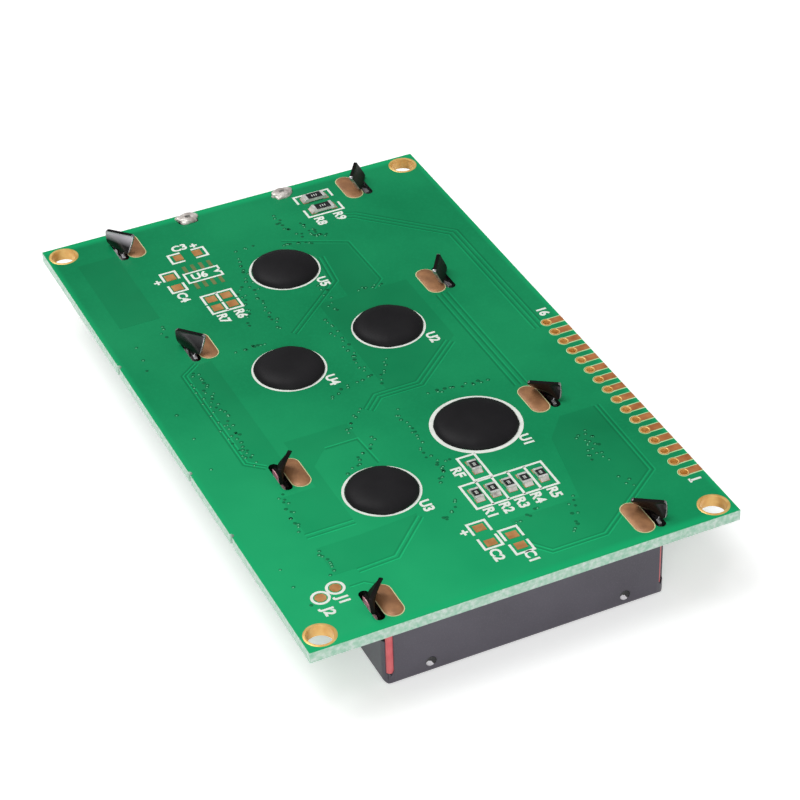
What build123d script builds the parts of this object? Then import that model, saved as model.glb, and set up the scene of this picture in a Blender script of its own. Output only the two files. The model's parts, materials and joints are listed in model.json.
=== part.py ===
from build123d import *
import math
import os

# Character display module, lying face down: bezel's face on Z = 0, board's back face up.
# X runs along the long side, +Y towards the row of header holes. Millimetres.

os.makedirs("parts", exist_ok=True)

# Circuit board
board_length = 98.0
board_width = 60.0
board_thickness = 1.6
copper = 0.05
mount_inset = 2.5
mount_bore = 3.5
mount_ring_width = 0.4
edge_notch_radius = 0.4
edge_notch_places = (-16.7, 9.9, 24.2)

# Header row along the +Y edge
pin_count = 16
pin_pitch = 2.54
pin_one_to_edge = 10.0
pin_row_to_edge = 2.5
pin_bore = 1.12
pin_pad_width = 1.6
pin_pad_length = 3.1
pin_pad_to_edge = 0.1
pin_pad_corner = 0.45
pin_pad_facets = 12

# Bezel, drawn and folded from one sheet
bezel_setback = 0.5
bezel_width = 39.8
bezel_depth = 8.6
sheet = 0.5
bezel_fold = 0.8
corner_slit = 0.7
corner_slit_low = 2.2
corner_slit_tip = 1.4
wall_notch_length = 1.4
wall_notch_depth = 1.8
window_end_border = 10.0
window_side_border = 7.3
window_corner = 1.0
dimple_radius = 0.75
dimple_depth = 0.3
dimple_spacing = 27.4
dimple_height = 1.9

# Bezel tabs, twisted by hand behind the board: each has its own twist at the root and at the tip in
# degrees, then its tip's inward lean and its height above the board
tab_end_inset = 4.1
tab_inner_place = 16.0
tab_neck = 2.8
tab_head = 4.6
tab_corner_cut = 0.3
tab_head_gap = 0.3
tab_slot_room = 0.07
tab_head_steps = 3
header_row_tabs = ((-36, -39, 1.35, 3.0), (-36, -38, 1.15, 3.0), (22, 56, 0.55, 2.3), (22, 56, 0.5, 2.3))
plain_row_tabs = ((20, 43, 0.15, 3.0), (20, 42, 0.0, 3.0), (-38, -42, 0.65, 2.6), (-38, -42, 0.55, 2.5))
slot_length = 6.0
slot_width = 1.4
ground_pad_length = 6.2
ground_pad_width = 2.6
ground_pad_corner = 0.8
ground_pad_gap = 0.1

# Display glass, from its frame inward
glass = 1.1
glass_end_fit = 0.3
glass_side_fit = 0.2
rear_glass_fit = 0.2
contact_ledge = 3.2
end_ledge = 1.5
cell_gap = 0.05
seal_inset = 0.3
seal_width = 1.2
polarizer = 0.2
front_polarizer_end_margin = 2.5
front_polarizer_side_margin = 3.0
rear_polarizer_end_margin = 2.0
rear_polarizer_side_margin = 1.3

# Backlight and the white frame that holds it
film = 0.2
frame_end_room = 1.2
frame_floor = 1.1
frame_recess = 0.75
frame_rim = 1.6
guide_ledge = 1.2
guide_fit = 0.2
guide_end_wall = 2.0
led_end_wall = 1.0
led_count = 4
led_length = 3.0
led_height = 1.6
led_depth = 1.2
led_gap = 0.2
led_board_thickness = 0.8
led_board_margin = 0.3
terminal_spacing = 15.3
terminal_setback = 0.45
terminal_thickness = 0.4
terminal_width = 0.8
terminal_bend = 0.3
terminal_hole = 1.2
terminal_tip = 0.7
terminal_room = 0.2
lump_width = 2.8
lump_height = 1.25
lump_to_edge = 0.05

# Elastomer strips that join the glass to the board
strip_width = 2.4
strip_wall_fit = 0.2
strip_frame_fit = 0.2
contact_pitch = 4.6
contact_end_margin = 1.2
contact_width = 2.2
contact_slot_gap = 0.05

# Chips under epoxy, given as centre and radius of each blob
blob_places = {
    "controller": (17.5, 8.1, 5.7),
    "driver_1": (-8.4, 7.3, 4.9),
    "driver_2": (24.7, -9.1, 4.9),
    "driver_3": (-5.5, -9.1, 5.0),
    "driver_4": (-28.3, 0.0, 4.9),
}
blob_height = 1.3
blob_edge = 0.25
dome_bands = 3
dome_sides = 30
die_side = 3.2
die_thickness = 0.3

# Chip resistors: the small ones lie along X, the two larger ones along Y
small_resistor = (2.0, 1.25, 0.5)
large_resistor = (3.2, 1.6, 0.55)
resistor_cap = 0.4
cap_skin = 0.04
resistor_column_x = 31.05
resistor_column_top = 10.7
resistor_pitch = 2.33
resistor_column_count = 5
feedback_resistor_place = (25.65, 3.75)
large_resistor_row_y = 11.6
large_resistor_insets = (8.1, 4.9)
solder_run = 0.45
solder_climb = 0.8

# Bare footprints with no part fitted; insets are measured from the short edge that is nearer
pad_short = 1.3
pad_long = 1.5
capacitor_pads_at = ((8.8, 1.85), (6.5, 1.85), (11.9, -1.25), (8.7, -1.25))
upright_pad_inset = 10.65
upright_pad_rows = (-9.7, -12.65)
low_pad_insets = (14.95, 17.8)
low_pad_row = -15.6
spare_resistor_insets = (22.8, 25.15)
spare_resistor_rows = (-10.05, -12.35)
spare_chip_inset = 16.4
spare_chip_row = -11.15
spare_chip_pitch = 1.27
spare_chip_pads = 8
spare_chip_span = 6.1
spare_chip_pad = (2.5, 0.65)
jumper_insets = (9.6, 8.7)
jumper_edge_insets = (7.7, 5.3)
jumper_pad = 1.6

# Heights that follow; the light guide takes the depth that the rest of the stack leaves
board_front = bezel_depth
board_back = board_front + board_thickness
pad_top = board_back + copper
front_glass_low = sheet + polarizer
front_glass_high = front_glass_low + glass
rear_glass_low = front_glass_high + cell_gap
rear_glass_high = rear_glass_low + glass
diffuser_low = rear_glass_high + polarizer
guide_low = diffuser_low + film
recess_low = board_front - frame_recess
reflector_high = recess_low - frame_floor
guide_high = reflector_high - film
guide_middle = (guide_low + guide_high) / 2

# Bezel and frame in plan
bezel_length = board_length - 2 * bezel_setback
window_length = bezel_length - 2 * window_end_border
window_width = bezel_width - 2 * window_side_border
tab_row = bezel_width / 2 - sheet / 2
tab_outer_place = bezel_length / 2 - tab_end_inset
tab_places = (-tab_outer_place, -tab_inner_place, tab_inner_place, tab_outer_place)
inner_end = bezel_length / 2 - sheet
inner_side = bezel_width / 2 - sheet

# Glass, strips, frame and light guide in plan
front_glass_length = 2 * (inner_end - glass_end_fit)
front_glass_width = 2 * (inner_side - glass_side_fit)
rear_glass_length = front_glass_length - 2 * end_ledge
rear_glass_width = front_glass_width - 2 * contact_ledge
strip_row = inner_side - strip_wall_fit - strip_width / 2
contact_length = 2 * (tab_row - slot_width / 2 - contact_slot_gap - strip_row)
contact_count = int((front_glass_length - 2 * contact_end_margin - contact_width) / contact_pitch) + 1
frame_end = inner_end - frame_end_room
frame_side = strip_row - strip_width / 2 - strip_frame_fit
guide_width = rear_glass_width - 2 * guide_ledge
guide_end = frame_end - guide_end_wall - guide_fit
led_board_back = -(frame_end - led_end_wall - guide_fit)
led_board_face = led_board_back + led_board_thickness
led_end_of_guide = led_board_face + led_depth + led_gap
led_board_length = guide_width - 2 * led_board_margin
led_pitch = led_board_length / led_count

# Board features in plan
far_end = -board_length / 2
ground_pad_row = tab_row - slot_width / 2 - ground_pad_gap - ground_pad_width / 2
header_y = board_width / 2 - pin_row_to_edge
pin_one_x = board_length / 2 - pin_one_to_edge
terminal_x = -(inner_end - terminal_setback - terminal_thickness / 2)


def plate(length, width, low, high, corner=0.0, centre=(0.0, 0.0)):
    """Rectangular plate between two heights, its upright corners rounded if asked."""
    outline = RectangleRounded(length, width, corner) if corner else Rectangle(length, width)
    return extrude(Plane((centre[0], centre[1], low)) * outline, high - low)


def span_plate(low_x, high_x, width, low, high):
    """Plate given by its two X ends."""
    return plate(high_x - low_x, width, low, high, centre=((low_x + high_x) / 2, 0.0))


def dome(radius, height, rim):
    """Many-sided cap in flat bands along one sphere, on an upright rim where one is given."""
    rise = height - rim
    sphere_radius = (radius ** 2 + rise ** 2) / (2 * rise)
    spread = math.asin(radius / sphere_radius)
    rings = [dome_ring(radius, 0)] if rim else []
    for band in range(dome_bands):
        slope = spread * (1 - band / dome_bands)
        drop = sphere_radius * (1 - math.cos(slope))
        rings.append(dome_ring(sphere_radius * math.sin(slope), height - drop))
    facets = [rings[0]]
    for low, high in zip(rings, rings[1:]):
        for corner in range(dome_sides):
            following = (corner + 1) % dome_sides
            facets.append([low[corner], low[following], high[following], high[corner]])
    for corner in range(dome_sides):
        facets.append([rings[-1][corner], rings[-1][(corner + 1) % dome_sides], Vector(0, 0, height)])
    return flat_sided(facets)


def dome_ring(radius, height):
    """Corners of a many-sided ring about the dome's axis."""
    turns = [2 * math.pi * corner / dome_sides for corner in range(dome_sides)]
    return [Vector(radius * math.cos(turn), radius * math.sin(turn), height) for turn in turns]


def flat_sided(facets):
    """Solid bounded by flat facets, each given by its corners."""
    return Solid(Shell([make_face(Polyline(*corners, close=True)) for corners in facets]))


def group(solids, label):
    """Separate solids of one kind, kept together as one named piece."""
    return Compound(label=label, children=list(solids))


def save(shape, label):
    shape.label = label
    export_step(shape, "parts/" + label + ".step")


# Circuit board and its plated holes


def mount_places():
    half_x = board_length / 2 - mount_inset
    half_y = board_width / 2 - mount_inset
    return [(sx * half_x, sy * half_y) for sx in (-1, 1) for sy in (-1, 1)]


def pin_places():
    return [(pin_one_x - index * pin_pitch, header_y) for index in range(pin_count)]


def tab_rows():
    """Each tab's place along X, its side of the board and its own shape."""
    header_row = [(x, 1, shape) for x, shape in zip(tab_places, header_row_tabs)]
    plain_row = [(x, -1, shape) for x, shape in zip(tab_places, plain_row_tabs)]
    return header_row + plain_row


def circuit_board():
    outline = Rectangle(board_length, board_width)
    for place in mount_places():
        outline -= Pos(*place) * Circle(mount_bore / 2 + mount_ring_width)
    for place in pin_places():
        outline -= Pos(*place) * Circle(pin_bore / 2)
    for x, side, shape in tab_rows():
        outline -= Pos(x, side * tab_row) * SlotOverall(slot_length, slot_width)
    for side in (-1, 1):
        outline -= Pos(terminal_x, side * terminal_spacing / 2) * Rectangle(terminal_hole, terminal_hole)
    for x in edge_notch_places:
        outline -= Pos(x, -board_width / 2) * Circle(edge_notch_radius)
    return extrude(Plane((0, 0, board_front)) * outline, board_thickness)


def mounting_hole_ring(place):
    """Plated barrel through the board, proud of both faces by the copper."""
    annulus = Circle(mount_bore / 2 + mount_ring_width) - Circle(mount_bore / 2)
    low = board_front - copper
    return extrude(Plane((place[0], place[1], low)) * annulus, pad_top - low)


def mounting_hole_rings():
    return group([mounting_hole_ring(place) for place in mount_places()], "rings")


def header_pad(place):
    """Pad round one header hole that runs out to the board's edge, with cut inner corners."""
    middle = board_width / 2 - pin_pad_to_edge - pin_pad_length / 2
    tongue = Pos(place[0], middle) * Rectangle(pin_pad_width, pin_pad_length)
    tongue = chamfer(tongue.vertices().sort_by(Axis.Y)[:2], pin_pad_corner)
    tongue -= Pos(*place) * RegularPolygon(pin_bore / 2, pin_pad_facets, major_radius=False)
    return extrude(Plane((0, 0, board_back)) * tongue, copper)


def header_pads():
    return group([header_pad(place) for place in pin_places()], "header_pads")


def flat_pads(places, length, width, label):
    pads = [plate(length, width, board_back, pad_top, centre=place) for place in places]
    return group(pads, label)


def ground_pads():
    pads = []
    for x, side, shape in tab_rows():
        outline = Pos(x, side * ground_pad_row) * Rectangle(ground_pad_length, ground_pad_width)
        outline = chamfer(outline.vertices(), ground_pad_corner)
        pads.append(extrude(Plane((0, 0, board_back)) * outline, copper))
    return group(pads, "ground_pads")


def capacitor_pads():
    places = [(board_length / 2 - inset, y) for inset, y in capacitor_pads_at]
    return flat_pads(places, pad_short, pad_long, "capacitor_pads")


def upright_capacitor_pads():
    places = [(far_end + upright_pad_inset, y) for y in upright_pad_rows]
    return flat_pads(places, pad_long, pad_short, "upright_capacitor_pads")


def low_capacitor_pads():
    places = [(far_end + inset, low_pad_row) for inset in low_pad_insets]
    return flat_pads(places, pad_long, pad_long, "low_capacitor_pads")


def spare_chip_pad_rows():
    """Two columns of pads for a chip with legs on both sides."""
    places = []
    per_side = spare_chip_pads // 2
    for column in (-1, 1):
        for index in range(per_side):
            x = far_end + spare_chip_inset + column * (spare_chip_span - spare_chip_pad[0]) / 2
            y = spare_chip_row + (index - (per_side - 1) / 2) * spare_chip_pitch
            places.append((x, y))
    return flat_pads(places, spare_chip_pad[0], spare_chip_pad[1], "spare_chip_pads")


def spare_resistor_pads():
    places = [(far_end + inset, y) for inset in spare_resistor_insets for y in spare_resistor_rows]
    return flat_pads(places, pad_long, pad_long, "spare_resistor_pads")


def jumper_pads():
    """Two eight-sided pads beside each other."""
    flat = Plane((0, 0, board_back)) * RegularPolygon(jumper_pad / 2, 8)
    pads = []
    for inset, edge_inset in zip(jumper_insets, jumper_edge_insets):
        pads.append(Pos(board_length / 2 - inset, edge_inset - board_width / 2) * extrude(flat, copper))
    return group(pads, "jumper_pads")


def display_contacts():
    """Two rows of contacts on the board's front face, under the elastomer strips."""
    pads = []
    for side in (-1, 1):
        for index in range(contact_count):
            x = (index - (contact_count - 1) / 2) * contact_pitch
            place = (x, side * strip_row)
            low = board_front - copper
            pads.append(plate(contact_width, contact_length, low, board_front, centre=place))
    return group(pads, "display_contacts")


# Bezel with its twisted tabs


def sheet_corners(width, height, turn, lean):
    """Corners of the tab's section at one height, turned and moved inward by its lean."""
    along = Vector(math.cos(math.radians(turn)), math.sin(math.radians(turn)), 0) * (width / 2)
    through = along.rotate(Axis.Z, 90).normalized() * (sheet / 2)
    middle = Vector(0, -lean, height)
    outer = [middle + along + through, middle - along + through]
    inner = [middle - along - through, middle + along - through]
    return outer + inner


def twisted_sheet(sections):
    """Solid strip of sheet through its sections, with two flat facets to each side of a step."""
    rings = [sheet_corners(*section) for section in sections]
    facets = [rings[0], rings[-1]]
    for low, high in zip(rings, rings[1:]):
        for corner in range(4):
            following = (corner + 1) % 4
            facets.append([low[corner], low[following], high[corner]])
            facets.append([low[following], high[following], high[corner]])
    return flat_sided(facets)


def turn_in_slot():
    """How far the neck can turn before its edges meet the slot, in degrees."""
    room = (slot_width - sheet) / 2 - tab_slot_room
    return math.degrees(math.asin(room / (tab_neck / 2)))


def twisted_tab(root_turn, tip_turn, lean, height):
    """Neck that turns in its slot, then a wider head that goes on turning and has cut corners."""
    exit_turn = math.copysign(turn_in_slot(), tip_turn)
    shoulder = height - tab_corner_cut
    neck = twisted_sheet([
        (tab_neck, board_front, 0.0, 0.0),
        (tab_neck, board_front + board_thickness / 2, exit_turn / 2, 0.0),
        (tab_neck, board_back, exit_turn, 0.0),
        (tab_neck, board_back + tab_head_gap, root_turn, 0.0),
    ])
    head = [(tab_head, board_back + tab_head_gap, root_turn, 0.0)]
    for step in range(1, tab_head_steps + 1):
        share = step / tab_head_steps
        rise = tab_head_gap + (shoulder - tab_head_gap) * share
        head.append((tab_head, board_back + rise, root_turn + (tip_turn - root_turn) * share, lean * share))
    head.append((tab_head - 2 * tab_corner_cut, board_back + height, tip_turn, lean))
    return neck + twisted_sheet(head)


def corner_slit_cut(end, side):
    """Gap between a short wall and a long one, with a pointed relief at the fold."""
    inner = side * (inner_side - corner_slit)
    outer = side * inner_side
    outline = Polygon(
        (inner, bezel_depth), (inner, corner_slit_low), ((inner + outer) / 2, corner_slit_tip),
        (outer, corner_slit_low), (outer, bezel_depth), align=None,
    )
    profile = Plane((end * inner_end, 0, 0), x_dir=(0, 1, 0), z_dir=(1, 0, 0)) * outline
    return extrude(profile, sheet, both=True)


def bezel_shell():
    """Folded tray of sheet with a display window, its walls parted at the corners."""
    shell = plate(bezel_length, bezel_width, 0.0, bezel_depth)
    shell = fillet(shell.faces().sort_by(Axis.Z)[0].edges(), bezel_fold)
    inner = plate(2 * inner_end, 2 * inner_side, sheet, bezel_depth)
    shell -= fillet(inner.faces().sort_by(Axis.Z)[0].edges(), bezel_fold - sheet)
    shell -= plate(window_length, window_width, 0.0, sheet, corner=window_corner)
    for end in (-1, 1):
        for side in (-1, 1):
            shell -= corner_slit_cut(end, side)
            notch = (end * (bezel_length - wall_notch_length) / 2, side * tab_row)
            notch_low = bezel_depth - wall_notch_depth
            shell -= plate(wall_notch_length, sheet, notch_low, bezel_depth, centre=notch)
    return shell


def dimpled(shell):
    """Shallow round dents punched into both short walls."""
    for end in (-1, 1):
        wall = Plane((end * bezel_length / 2, 0, dimple_height), x_dir=(0, 1, 0), z_dir=(-end, 0, 0))
        for side in (-1, 1):
            shell -= extrude(wall * Pos(side * dimple_spacing / 2, 0) * Circle(dimple_radius), dimple_depth)
    return shell


def bezel():
    shell = dimpled(bezel_shell())
    for x, side, shape in tab_rows():
        tab = twisted_tab(*shape)
        if side < 0:
            tab = Rot(0, 0, 180) * tab
        shell += Pos(x, side * tab_row, 0) * tab
    return shell


# Display glass and polarizers


def front_polarizer():
    length = front_glass_length - 2 * front_polarizer_end_margin
    width = front_glass_width - 2 * front_polarizer_side_margin
    return plate(length, width, sheet, front_glass_low)


def front_glass():
    return plate(front_glass_length, front_glass_width, front_glass_low, front_glass_high)


def seal_outline(inset):
    return rear_glass_length - 2 * inset, rear_glass_width - 2 * inset


def glass_seal():
    outer = plate(*seal_outline(seal_inset), front_glass_high, rear_glass_low)
    return outer - plate(*seal_outline(seal_inset + seal_width), front_glass_high, rear_glass_low)


def liquid_crystal():
    return plate(*seal_outline(seal_inset + seal_width), front_glass_high, rear_glass_low)


def rear_glass():
    return plate(rear_glass_length, rear_glass_width, rear_glass_low, rear_glass_high)


def rear_polarizer():
    length = rear_glass_length - 2 * rear_polarizer_end_margin
    width = rear_glass_width - 2 * rear_polarizer_side_margin
    return plate(length, width, rear_glass_high, diffuser_low)


def contact_strip(side):
    centre = (0.0, side * strip_row)
    high = board_front - copper
    return plate(front_glass_length, strip_width, front_glass_high, high, centre=centre)


# Backlight


def diffuser_sheet():
    return span_plate(led_end_of_guide, guide_end, guide_width, diffuser_low, guide_low)


def light_guide():
    return span_plate(led_end_of_guide, guide_end, guide_width, guide_low, guide_high)


def reflector_sheet():
    return span_plate(led_end_of_guide, guide_end, guide_width, guide_high, reflector_high)


def led_board():
    return span_plate(led_board_back, led_board_face, led_board_length, guide_low, guide_high)


def backlight_led(index):
    """Light source with a pale lens side, facing the end of the light guide."""
    y = (index - (led_count - 1) / 2) * led_pitch
    body = Box(led_depth, led_length, led_height)
    return Pos(led_board_face + led_depth / 2, y, guide_middle) * body


def terminal_profile():
    """Bent strip seen from the side: out of the end wall, then up through the board."""
    low = guide_middle
    inner_x = led_board_back
    outer_x = terminal_x - terminal_thickness / 2
    top = board_back + terminal_tip
    points = [
        (inner_x, low),
        (outer_x, low),
        (outer_x, top),
        (outer_x + terminal_thickness, top),
        (outer_x + terminal_thickness, low + terminal_thickness),
        (inner_x, low + terminal_thickness),
    ]
    outline = Polygon(*points, align=None)
    outside = outline.vertices().sort_by_distance((outer_x, low))[0]
    outline = fillet(outside, terminal_bend + terminal_thickness)
    bend = (outer_x + terminal_thickness, low + terminal_thickness)
    inside = outline.vertices().sort_by_distance(bend)[0]
    return fillet(inside, terminal_bend)


def backlight_terminal(side):
    y = side * terminal_spacing / 2
    profile = Plane((0, y, 0), x_dir=(1, 0, 0), z_dir=(0, -1, 0)) * terminal_profile()
    return extrude(profile, terminal_width / 2, both=True)


def solder_lump(side):
    """Dome of solder around the terminal's tip, up to the board's short edge."""
    centre_x = -(board_length / 2 - lump_width / 2 - lump_to_edge)
    lump = dome(lump_width / 2, lump_height, 0.0)
    return Pos(centre_x, side * terminal_spacing / 2, board_back) * lump - backlight_terminal(side)


def terminal_channel(side):
    """Slot through the end wall, open towards the board, that clears one terminal."""
    low = guide_middle - terminal_room
    middle = ((led_board_back - frame_end) / 2, side * terminal_spacing / 2)
    width = terminal_width + 2 * terminal_room
    return plate(frame_end + led_board_back, width, low, board_front, centre=middle)


def backlight_frame():
    """White moulding between the strips that seats the rear glass, the light guide and its lights."""
    frame = plate(2 * frame_end, 2 * frame_side, front_glass_high, board_front)
    rear_pocket_length = rear_glass_length + 2 * rear_glass_fit
    rear_pocket_width = rear_glass_width + 2 * rear_glass_fit
    frame -= plate(rear_pocket_length, rear_pocket_width, front_glass_high, rear_glass_high)
    cavity_width = guide_width + 2 * guide_fit
    cavity_start = led_board_back - guide_fit
    frame -= span_plate(cavity_start, guide_end + guide_fit, cavity_width, rear_glass_high, reflector_high)
    recess_length = 2 * (frame_end - led_end_wall - frame_rim)
    frame -= plate(recess_length, 2 * (frame_side - frame_rim), recess_low, board_front)
    for side in (-1, 1):
        frame -= terminal_channel(side)
    return frame


# Chips under epoxy


def chip_die(place):
    return plate(die_side, die_side, board_back, board_back + die_thickness, centre=place[:2])


def epoxy_blob(place):
    """Low dome with a short upright rim, cast over the chip."""
    blob = Pos(place[0], place[1], board_back) * dome(place[2], blob_height, blob_edge)
    return blob - chip_die(place)


# Chip resistors and their solder


def chip_resistor(size, place, turn=0.0):
    """Ceramic body with a metal cap wrapped over each end."""
    length, width, height = size
    chip = Box(length - 2 * cap_skin, width - 2 * cap_skin, height - 2 * cap_skin)
    glaze = Box(length - 2 * resistor_cap, width - 4 * cap_skin, cap_skin)
    chip += Pos(0, 0, (height - cap_skin) / 2) * glaze
    for end in (-1, 1):
        cap = Box(resistor_cap, width, height)
        cap = chamfer(cap.faces().sort_by(Axis.X)[-1 if end > 0 else 0].edges(), cap_skin)
        chip += Pos(end * (length - resistor_cap) / 2, 0, 0) * cap
    return Pos(place[0], place[1], pad_top + height / 2) * Rot(0, 0, turn) * chip


def solder_fillet(size, place, turn, end):
    """Wedge of solder between one end cap and its pad."""
    length, width, height = size
    climb = height * solder_climb
    corner = (length / 2, 0.0)
    top = (length / 2, climb)
    toe = (length / 2 + solder_run, 0.0)
    profile = Plane.XZ * Polygon(corner, top, toe, align=None)
    wedge = extrude(profile, width / 2 - cap_skin, both=True)
    if end < 0:
        wedge = Rot(0, 0, 180) * wedge
    return Pos(place[0], place[1], pad_top) * Rot(0, 0, turn) * wedge


def resistors():
    """Name, size, place and turn of every chip resistor that is fitted."""
    fitted = []
    for index in range(resistor_column_count):
        place = (resistor_column_x, resistor_column_top - index * resistor_pitch)
        fitted.append(("resistor_" + str(resistor_column_count - index), small_resistor, place, 0.0))
    fitted.append(("feedback_resistor", small_resistor, feedback_resistor_place, 0.0))
    for index, inset in enumerate(large_resistor_insets):
        place = (far_end + inset, large_resistor_row_y)
        fitted.append(("backlight_resistor_" + str(index + 1), large_resistor, place, 90.0))
    return fitted


def resistor_pads():
    """Copper under each end cap and its solder."""
    pads = []
    for name, size, place, turn in resistors():
        length, width, height = size
        run = resistor_cap + solder_run + cap_skin
        for end in (-1, 1):
            shift = end * (length / 2 + solder_run + cap_skin - run / 2)
            pad = Pos(shift, 0, 0) * Box(run, width + 2 * cap_skin, copper)
            pads.append(Pos(place[0], place[1], board_back + copper / 2) * Rot(0, 0, turn) * pad)
    return group(pads, "resistor_pads")


def resistor_solder():
    joints = []
    for name, size, place, turn in resistors():
        for end in (-1, 1):
            joints.append(solder_fillet(size, place, turn, end))
    return group(joints, "resistor_solder")


# Write every piece

save(circuit_board(), "circuit_board")
save(mounting_hole_rings(), "mounting_hole_rings")
save(header_pads(), "header_pads")
save(ground_pads(), "ground_pads")
save(display_contacts(), "display_contacts")
save(capacitor_pads(), "capacitor_pads")
save(upright_capacitor_pads(), "upright_capacitor_pads")
save(low_capacitor_pads(), "low_capacitor_pads")
save(spare_resistor_pads(), "spare_resistor_pads")
save(spare_chip_pad_rows(), "spare_chip_pads")
save(jumper_pads(), "jumper_pads")

save(bezel(), "bezel")
save(front_polarizer(), "front_polarizer")
save(front_glass(), "front_glass")
save(glass_seal(), "glass_seal")
save(liquid_crystal(), "liquid_crystal")
save(rear_glass(), "rear_glass")
save(rear_polarizer(), "rear_polarizer")
save(contact_strip(1), "contact_strip_header_side")
save(contact_strip(-1), "contact_strip_plain_side")

save(backlight_frame(), "backlight_frame")
save(diffuser_sheet(), "diffuser_sheet")
save(light_guide(), "light_guide")
save(reflector_sheet(), "reflector_sheet")
save(led_board(), "led_board")
for led in range(led_count):
    save(backlight_led(led), "backlight_led_" + str(led + 1))
for number, side in ((1, 1), (2, -1)):
    save(backlight_terminal(side), "backlight_terminal_" + str(number))
    save(solder_lump(side), "backlight_solder_" + str(number))

for name, place in blob_places.items():
    save(chip_die(place), name + "_die")
    save(epoxy_blob(place), name + "_blob")

for name, size, place, turn in resistors():
    save(chip_resistor(size, place, turn), name)
save(resistor_pads(), "resistor_pads")
save(resistor_solder(), "resistor_solder")
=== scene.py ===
import json
import math
import random

import bmesh
import bpy
from mathutils import Matrix, Vector, noise


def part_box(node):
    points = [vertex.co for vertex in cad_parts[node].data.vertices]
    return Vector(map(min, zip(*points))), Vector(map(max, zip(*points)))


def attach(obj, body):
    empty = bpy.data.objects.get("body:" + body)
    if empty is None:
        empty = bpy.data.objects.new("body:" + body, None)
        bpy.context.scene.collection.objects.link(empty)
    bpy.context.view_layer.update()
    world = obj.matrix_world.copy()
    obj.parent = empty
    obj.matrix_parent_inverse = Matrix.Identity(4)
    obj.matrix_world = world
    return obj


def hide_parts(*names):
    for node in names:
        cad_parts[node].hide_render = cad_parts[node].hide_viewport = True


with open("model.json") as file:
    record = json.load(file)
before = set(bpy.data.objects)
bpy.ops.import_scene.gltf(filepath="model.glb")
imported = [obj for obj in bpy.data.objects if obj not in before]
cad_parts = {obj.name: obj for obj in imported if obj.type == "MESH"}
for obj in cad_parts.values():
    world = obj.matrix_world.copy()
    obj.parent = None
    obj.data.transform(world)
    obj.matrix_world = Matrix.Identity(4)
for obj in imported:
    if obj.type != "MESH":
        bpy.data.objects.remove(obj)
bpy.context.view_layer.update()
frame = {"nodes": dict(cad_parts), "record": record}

# Lengths are millimetres here and become metres when a piece is made
MM = 0.001
chance = random.Random(11)


def box_mm(node):
    low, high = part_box(node)
    return low / MM, high / MM


board_low, board_high = box_mm("circuit_board")
board_top = board_high.z
pad_top = box_mm("header_pads")[1].z
half_length = board_high.x
half_width = board_high.y
bezel_half_length = box_mm("bezel")[1].x

# Thin layers over the board's lacquer
print_low = board_top - 0.005
print_high = board_top + 0.03
pad_low = board_top - 0.01
mark_width = 0.34
letter_height = 1.4

# Places shared with the construction
hole_inset = 2.5
tab_row = 19.65
tab_places = (-44.4, -16.0, 16.0, 44.4)
header_y = half_width - hole_inset
header_bore = 1.12
edge_gap = 0.02
mount_bore = 3.5
sheet = 0.5
bezel_half_width = 19.9
wall_inside = 19.35
corner_round = 1.8
corner_gap_low = 1.7
carving_high = 12.0
# Where a long wall ends and how far the soft strip reaches there: end, side, both places
strip_ends = ((1, 1, 47.2, 19.2), (1, -1, 47.7, 19.5), (-1, 1, 47.6, 19.3), (-1, -1, 47.6, 19.3))
dent_radius = 0.72
dent_depth = 0.26
dent_place = 13.7
dent_height = 1.9
dent_sides = 36
tab_shoulder = 4.5
tab_neck = 2.8
tab_head = 4.6
tab_round = 0.35
tab_gap = 0.3
tab_straight = 0.3
slot_turn = 13.0
slot_turn_height = 0.06
tab_across = 9
# Turn at the root and at the tip in degrees, lean and height of each tab
header_row_tabs = ((-33, -34, 1.3, 3.0), (-33, -34, 1.1, 3.0), (22, 56, 0.55, 2.3), (22, 56, 0.5, 2.3))
plain_row_tabs = ((20, 43, 0.15, 2.75), (20, 42, 0.0, 2.75), (-18, -42, 0.75, 2.6), (-18, -42, 0.65, 2.5))
tab_curl = 0.5


# Materials


def tone(red, green, blue):
    """A colour written as the screen shows it, 0 to 255, turned into a linear one."""
    def linear(value):
        share = value / 255
        return share / 12.92 if share <= 0.04045 else ((share + 0.055) / 1.055) ** 2.4
    return (linear(red), linear(green), linear(blue), 1.0)


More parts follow.
